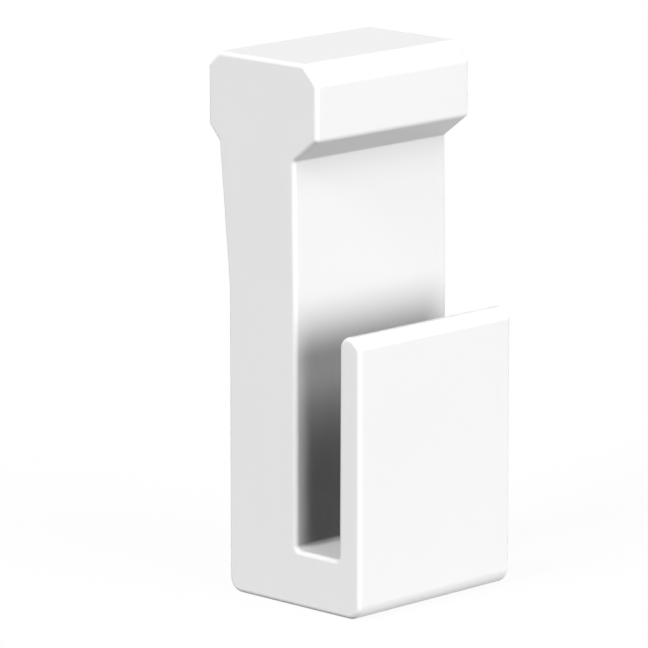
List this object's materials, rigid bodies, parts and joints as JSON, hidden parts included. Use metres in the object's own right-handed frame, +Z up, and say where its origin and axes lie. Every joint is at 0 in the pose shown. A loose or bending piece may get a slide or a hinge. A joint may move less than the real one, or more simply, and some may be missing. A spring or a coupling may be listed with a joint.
{
  "type": "picture rail hook",
  "caption": "White moulded J-shaped picture rail hook: a T head hangs in the rail's channel and an upright slot behind the lip holds a picture cord or hanger.",
  "frame": {"origin": "middle of the bounding box in width and depth, at the level of the foot", "axes": "+Z up the hook, +Y towards the wall, -Y towards the room, X along the rail"},
  "size_m": [0.018, 0.0172, 0.045],
  "materials": {
    "white_plastic": "satin"
  },
  "bodies": {
    "root": {"rail_hook": "white_plastic"}
  },
  "joints": []
}
